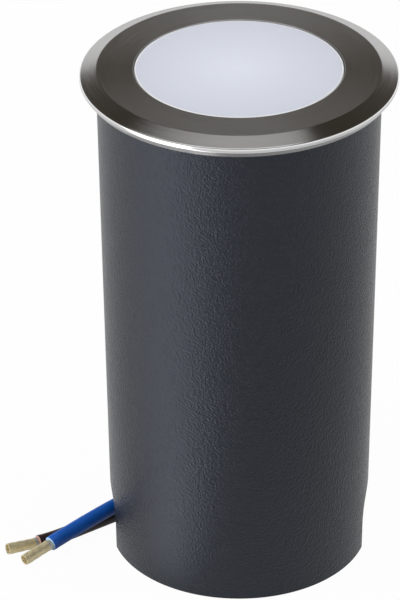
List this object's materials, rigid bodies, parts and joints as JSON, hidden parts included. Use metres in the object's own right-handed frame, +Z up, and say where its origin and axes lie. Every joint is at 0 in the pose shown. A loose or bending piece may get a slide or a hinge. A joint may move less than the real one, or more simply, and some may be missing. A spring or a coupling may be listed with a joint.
{
  "type": "in ground well light",
  "caption": "Small recessed ground light: frosted lens in a bevelled steel ring, tapered black sleeve with cable notches, blue and brown supply leads.",
  "frame": {"origin": "on the floor, in the middle of the sleeve's open foot", "axes": "+Z up along the light's middle line; +X and -X point through the two cable notches, and the leads leave at -X"},
  "size_m": [0.0826, 0.065, 0.112],
  "materials": {
    "sleeve_plastic": "moulded charcoal plastic with a fine leathery grain",
    "foam": "black closed-cell foam",
    "ring_steel": "stainless steel, turned with a fine circular grain",
    "screw_steel": "plain stainless steel",
    "lens_glass": "frosted white glass with a fine satin face",
    "seal_rubber": "black silicone rubber",
    "housing_aluminium": "cast and turned aluminium",
    "pad_grey": "grey heat-conducting pad",
    "board_white": "white solder mask on a metal-backed board",
    "chip_yellow": "yellow phosphor in clear resin",
    "reflector_bright": "bright metallised plastic",
    "wire_red": "red insulation",
    "wire_black": "black insulation",
    "board_green": "green solder mask on glass-fibre board",
    "brass": "pale bright brass",
    "brass_nickel": "nickel-plated brass",
    "copper": "stranded copper",
    "ferrite": "dark grey ferrite",
    "tape_yellow": "yellow polyester tape over the coil",
    "capacitor_can": "sleeved aluminium can",
    "chip_black": "black moulded package",
    "terminal_green": "green moulded terminal",
    "silicone_blue": "blue silicone insulation with a soft sheen",
    "silicone_brown": "dark brown silicone insulation with a soft sheen",
    "vent_black": "black moulded vent"
  },
  "bodies": {
    "sleeve": {"mounting_sleeve": "sleeve_plastic", "rim_gasket": "foam", "blue_lead": "silicone_blue", "brown_lead": "silicone_brown", "blue_ferrule": "brass", "brown_ferrule": "brass", "blue_strands": "copper", "brown_strands": "copper"},
    "head": {"trim_ring": "ring_steel", "ring_screws": "screw_steel", "lens": "lens_glass", "lens_gasket_upper": "seal_rubber", "lens_gasket_lower": "seal_rubber", "housing": "housing_aluminium", "grip_ring_upper": "seal_rubber", "grip_ring_lower": "seal_rubber", "thermal_pad": "pad_grey", "led_board": "board_white", "led_chips": "chip_yellow", "led_board_screws": "screw_steel", "reflector_cup": "reflector_bright", "led_wire_red": "wire_red", "led_wire_black": "wire_black", "deck_grommet": "seal_rubber", "driver_board": "board_green", "board_screws": "screw_steel", "board_standoffs": "brass", "transformer_core": "ferrite", "transformer_coil": "tape_yellow", "input_capacitor": "capacitor_can", "output_capacitor": "capacitor_can", "driver_controller": "chip_black", "bridge_rectifier": "chip_black", "inductor": "ferrite", "terminal_block": "terminal_green", "terminal_screws": "screw_steel", "supply_wire_blue": "silicone_blue", "supply_wire_brown": "silicone_brown", "rear_cap": "housing_aluminium", "rear_seal": "seal_rubber", "cap_screws": "screw_steel", "breather_vent": "vent_black", "gland_washer": "seal_rubber", "gland_body": "brass_nickel", "gland_locknut": "brass_nickel", "gland_nut": "brass_nickel", "gland_insert": "seal_rubber"}
  },
  "joints": [
    {"name": "head_lift", "type": "slide", "parent": "sleeve", "child": "head", "axis": [0, 0, 1], "range_m": [0, 0.075], "deforming": ["blue_lead", "brown_lead"]}
  ]
}
